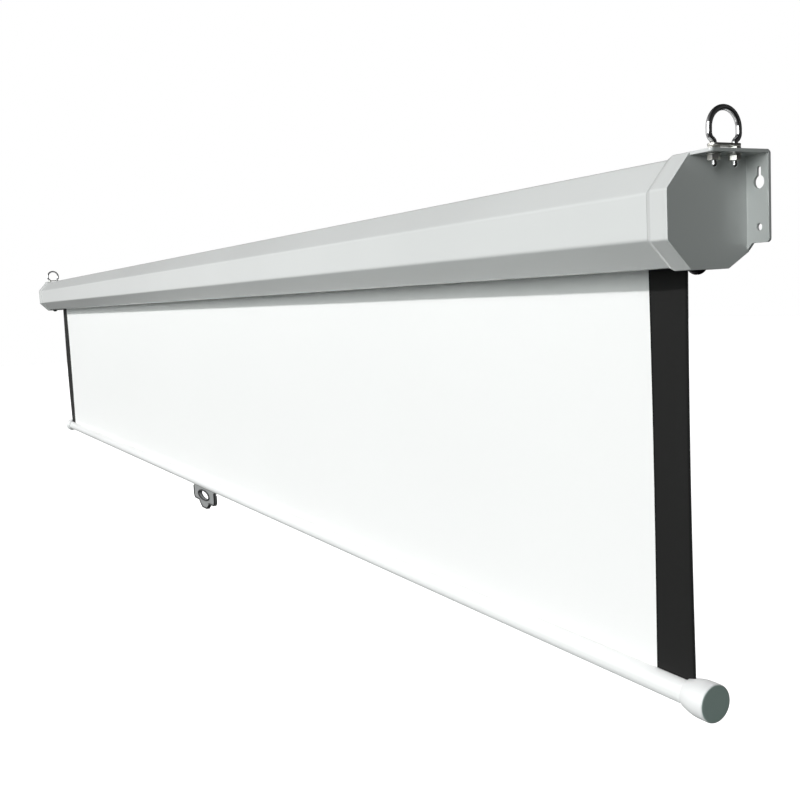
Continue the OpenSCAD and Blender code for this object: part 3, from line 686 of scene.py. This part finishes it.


# The moulded bead round the handle's outline and its finger hole, coloured near black as painted
# shade along those edges
def face_loops(name, y, side):
    """Outlines of a node's flat faces at that depth, seen by the audience (-1) or the wall (1)."""
    mesh = nodes[name].data
    once = {}
    for p in mesh.polygons:
        if p.normal.y * side > 0.999 and abs(p.center.y - y) < 2e-5:
            spots = [tuple(round(c, 6) for c in mesh.vertices[i].co) for i in p.vertices]
            for a, b in zip(spots, spots[1:] + spots[:1]):
                if once.pop((b, a), None) is None:
                    once[(a, b)] = True
    following = {a: b for a, b in once}
    loops = []
    while following:
        first = next(iter(following))
        loop, spot = [first], following.pop(first)
        while spot != first:
            loop.append(spot)
            spot = following.pop(spot)
        loops.append(np.array(loop))
    return sorted(loops, key=lambda loop: -np.ptp(loop[:, 0]))


def turn_left(loop):
    """The loop in the order that has its inside on the left."""
    x, z = loop[:, 0], loop[:, 2]
    area = np.sum(x * np.roll(z, -1) - np.roll(x, -1) * z)
    return loop if area > 0 else loop[::-1]


def bead(line, radius, inset, y, closed):
    """A round bead along a line in the screen's plane, set in from it to its left side."""
    sides = 10
    before = np.roll(line, 1, axis=0) if closed else np.vstack([line[:1], line[:-1]])
    after = np.roll(line, -1, axis=0) if closed else np.vstack([line[1:], line[-1:]])
    steps = []
    for a, b in ((before, line), (line, after)):
        d = (b - a)[:, [0, 2]]
        size = np.linalg.norm(d, axis=1)[:, None]
        steps.append(np.where(size > 0, d / np.maximum(size, 1e-9), 0))
    way = steps[0] + steps[1]
    way /= np.linalg.norm(way, axis=1)[:, None]
    left = np.stack([-way[:, 1], way[:, 0]], 1)
    loops = []
    for p, s in zip(line, left):
        loop = []
        for k in range(sides):
            a = 2 * math.pi * k / sides
            reach = inset + radius * math.cos(a)
            loop.append((p[0] + s[0] * reach, y + radius * math.sin(a), p[2] + s[1] * reach))
        loops.append(loop)
    return lofted(loops, ring=closed)


# Depths of the plate's faces, the height of the raised rim, and where the bar hides the bead
PLATE_FRONT, PLATE_BACK, RIM_H = -0.029, -0.025, 0.001
HIDDEN_FRONT, HIDDEN_BACK = BAR_Z - 0.0114, BAR_Z - 0.0165
# Radius of the bead and how far it is set in, on the plate's outline and on the finger hole's rim
PLATE_BEAD, RIM_BEAD = (0.0015, 0.0011), (0.0014, 0.0006)
parts = []
outline = turn_left(face_loops("pull_handle", PLATE_FRONT, -1)[0])
for y, top in ((PLATE_FRONT, HIDDEN_FRONT), (PLATE_BACK, HIDDEN_BACK)):
    kept = outline[:, 2] < top
    start = int(np.argmax(kept & ~np.roll(kept, 1)))
    line = np.roll(outline, -start, axis=0)[: int(kept.sum())]
    line = np.vstack([line[0], line, line[-1]])
    line[[0, -1], 2] = top
    parts.append(bead(line, *PLATE_BEAD, y, closed=False))
for side, y in ((-1, PLATE_FRONT - RIM_H), (1, PLATE_BACK + RIM_H)):
    rim = turn_left(face_loops("pull_handle", y, side)[0])
    parts.append(bead(rim, *RIM_BEAD, y, closed=True))
add_piece("handle_rim_bead", joined(parts), "handle_rim", 50,
          body_of["pull_handle"])


# The wound wire of the torsion spring
def coil(x0, x1, radius, wire, pitch):
    """A coil along X of that middle radius, its wire given by its own radius."""
    steps, sides = 14, 6
    length = x1 - x0 - 2 * wire
    count = int(length / pitch * steps)
    loops = []
    for i in range(count + 1):
        a = 2 * math.pi * i / steps
        centre = Vector((x0 + wire + length * i / count, AXIS_Y, AXIS_Z))
        out = Vector((0, math.cos(a), math.sin(a)))
        loop = []
        for k in range(sides):
            b = 2 * math.pi * k / sides
            along = Vector((1, 0, 0)) * wire * math.sin(b)
            loop.append(tuple(centre + out * (radius + wire * math.cos(b)) + along))
        loops.append(loop)
    return lofted(loops)


WIRE_R, COIL_PITCH = 0.00125, 0.0031
lo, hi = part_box("torsion_spring")
spring = coil(lo[0], hi[0], (hi[1] - lo[1]) / 2 - WIRE_R, WIRE_R, COIL_PITCH)
add_piece("torsion_spring_coil", spring, "spring_steel", 75,
          body_of["torsion_spring"], ["torsion_spring"])

# Rows of the hanging cloth: round the roll, straight down, and round the rod in the hem
WRAP_ROWS, HANG_ROWS, HEM_ROWS = 9, 44, 15
# Rows at the lower end that stay white, inside the bar
WHITE_ROWS = 12
# Columns over each black border and over the picture
BORDER_COLUMNS, PICTURE_COLUMNS = 9, 66
# Index of the side that faces the audience
FRONT = 1


def cloth_line(top, bottom):
    """Depth and height along the cloth, from over its roll down to the hem round its rod."""
    wrap = abs(SHEET_Y - AXIS_Y)
    hem = HEM_R - 0.0002
    line = []
    for k in range(WRAP_ROWS):
        a = math.radians(100 * (1 - k / (WRAP_ROWS - 1)))
        line.append((AXIS_Y + wrap * math.cos(a), AXIS_Z + wrap * math.sin(a)))
    for k in range(1, HANG_ROWS + 1):
        line.append((SHEET_Y, top + (bottom - top) * k / HANG_ROWS))
    for k in range(HEM_ROWS):
        a = math.radians(108 + 322 * k / (HEM_ROWS - 1))
        line.append((SHEET_Y + hem * math.cos(a), HEM_Z + hem * math.sin(a)))
    return np.array(line)


def hanging_cloth():
    """The cloth as a part, with the look of each face and the length of the cut."""
    top, bottom = AXIS_Z, HEM_Z + HEM_R + 0.001
    line = cloth_line(top, bottom)
    length = float(np.linalg.norm(np.diff(line, axis=0), axis=1).sum())
    steps = np.gradient(line, axis=0)
    steps /= np.linalg.norm(steps, axis=1)[:, None]
    across = np.stack([-steps[:, 1], steps[:, 0]], 1)
    picture = HALF - BORDER
    edge = [HALF - BORDER * k / BORDER_COLUMNS for k in range(BORDER_COLUMNS + 1)]
    inner = list(np.linspace(picture, -picture, PICTURE_COLUMNS + 1))[1:-1]
    xs = np.array(edge + inner + [-e for e in reversed(edge)])
    n_rows, n_cols = len(line), len(xs)

    # The edges curl forwards and the cloth beside them bows back, most of all half way down,
    # and the whole cloth ripples a little
    drop = np.clip((top - line[:, 1]) / (top - bottom), 0, 1)
    hang = np.sin(np.pi * drop) * (line[:, 1] < top + 1e-9)
    hang[-HEM_ROWS:] = 0
    inset = HALF - np.abs(xs)
    curl_depth, curl_reach = 0.0021, 0.014
    bow_depth, bow_inset, bow_reach = 0.0012, 0.048, 0.035
    curl = -curl_depth * np.exp(-(inset / curl_reach) ** 2)
    bow = bow_depth * np.exp(-((inset - bow_inset) / bow_reach) ** 2)
    ripple = 0.00035 * np.sin(xs * 11.3 + 0.7) + 0.00025 * np.sin(xs * 23.1 + 2.1)
    points = []
    for side in (1, -1):
        for i in range(n_rows):
            y = line[i, 0] + side * across[i, 0] * CLOTH_THICK / 2
            z = line[i, 1] + side * across[i, 1] * CLOTH_THICK / 2
            for j in range(n_cols):
                sway = ripple[j] * math.sin(2.2 * drop[i] + xs[j])
                points.append((xs[j], y + hang[i] * (curl[j] + bow[j] + sway), z))

    faces, shades = [], []
    half = n_rows * n_cols
    for side in (0, 1):
        for i in range(n_rows - 1):
            for j in range(n_cols - 1):
                a = side * half + i * n_cols + j
                faces.append((a, a + 1, a + n_cols + 1, a + n_cols))
                in_border = abs(xs[j] + xs[j + 1]) / 2 > picture
                black = side == FRONT and in_border and i < n_rows - WHITE_ROWS
                shades.append(1 if black else 0)
    for i in range(n_rows - 1):
        for j in (0, n_cols - 1):
            a = i * n_cols + j
            faces.append((a, a + n_cols, a + n_cols + half, a + half))
    for j in range(n_cols - 1):
        for i in (0, n_rows - 1):
            a = i * n_cols + j
            faces.append((a, a + 1, a + 1 + half, a + half))
    shades += [0] * (len(faces) - len(shades))
    return (points, faces), shades, length


part, face_looks, cloth_length = hanging_cloth()
cloth_looks = ["screen_white", "border_black"]
cloth_piece = mesh_object("projection_fabric", part, cloth_looks, 60, face_looks)
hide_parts("screen_fabric", "masking_borders")
# The bend starts above the roll's tangent, so that a raised screen's slack stays in the case
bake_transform(cloth_piece)

# Floor, seen by the camera alone
FLOOR_REACH, FLOOR_Z = 40, -2.05
corners = [(-FLOOR_REACH, -FLOOR_REACH, 0), (FLOOR_REACH, -FLOOR_REACH, 0),
           (FLOOR_REACH, FLOOR_REACH, 0), (-FLOOR_REACH, FLOOR_REACH, 0)]
floor = mesh_object("floor", (corners, [(0, 1, 2, 3)]), ["floor"])
floor.location.z = FLOOR_Z
floor.visible_diffuse = False
floor.visible_glossy = False


def studio_sky():
    """Soft light from all round, light and dark sides for gloss, and plain white behind it all."""
    scene.world = bpy.data.worlds.new("studio")
    tree = tree_of(scene.world)
    rays = node(tree, "ShaderNodeLightPath")
    way = node(tree, "ShaderNodeTexCoord").outputs["Generated"]
    height = node(tree, "ShaderNodeSeparateXYZ", {"Vector": way}).outputs["Z"]
    upward = share_of(tree, height, -1.0, 1.0)

    # A little stronger from the front, and greener from below
    slant = dot_product(tree, way, (-0.01, -0.055, -0.005))
    strength = maths(tree, "MAXIMUM", maths(tree, "ADD", slant, 0.065), 0.02)
    below, level, above = (0.58, 0.74, 0.67), (0.96, 1.0, 0.98), (1.0, 1.0, 1.0)
    tint = ramp(tree, upward, [(0.0, below), (0.5, level), (0.8, above)])
    soft = node(tree, "ShaderNodeBackground", {"Color": tint, "Strength": strength})

    # What polished metal reflects: bright from the front left, dark elsewhere
    left = dot_product(tree, way, (-0.62, -0.77, 0.0))
    by_side = ramp(tree, left, [
        (0.0, 0.04), (0.3, 0.18), (0.57, 0.25), (0.68, 0.33), (0.78, 0.68), (0.86, 0.95),
        (1.0, 0.9)])
    by_height = ramp(tree, upward, [
        (0.0, 0.2), (0.4, 0.35), (0.475, 1.0), (0.6, 1.0), (0.75, 0.6), (1.0, 0.35)])
    mirrored = maths(tree, "MULTIPLY", by_side, by_height)
    white = (1, 1, 1, 1)
    gloss = node(tree, "ShaderNodeBackground", {"Color": white, "Strength": mirrored})
    plain = node(tree, "ShaderNodeBackground", {"Color": white, "Strength": 1.0})

    lit = node(tree, "ShaderNodeMixShader", {
        0: rays.outputs["Is Glossy Ray"], 1: soft.outputs[0], 2: gloss.outputs[0]})
    seen = node(tree, "ShaderNodeMixShader", {
        0: rays.outputs["Is Camera Ray"], 1: lit.outputs[0], 2: plain.outputs[0]})
    node(tree, "ShaderNodeOutputWorld", {"Surface": seen.outputs[0]})


def sun(name, start, energy, angle, colour=(1.0, 1.0, 1.0)):
    """A sun that shines from there towards the origin."""
    data = bpy.data.lights.new(name, "SUN")
    data.energy = energy
    data.angle = angle
    data.color = colour
    o = bpy.data.objects.new(name, data)
    scene.collection.objects.link(o)
    o.location = start
    o.rotation_euler = (-Vector(start)).to_track_quat("-Z", "Y").to_euler()
    return o


studio_sky()
sun("key", (-1.0, -3.0, 1.45), 1.76, angle=0.05, colour=(1.0, 0.985, 0.99))
sun("fill", (1.2, -2.8, 0.65), 1.64, angle=0.7, colour=(0.95, 1.0, 0.985))
# Light on the back and the tops, which leaves no gloss on the edges seen from the front
sun("back", (-1.0, 3.0, 1.5), 2.0, angle=0.3).visible_glossy = False
sun("top", (-0.5, -0.3, 3.0), 0.6, angle=0.3).visible_glossy = False
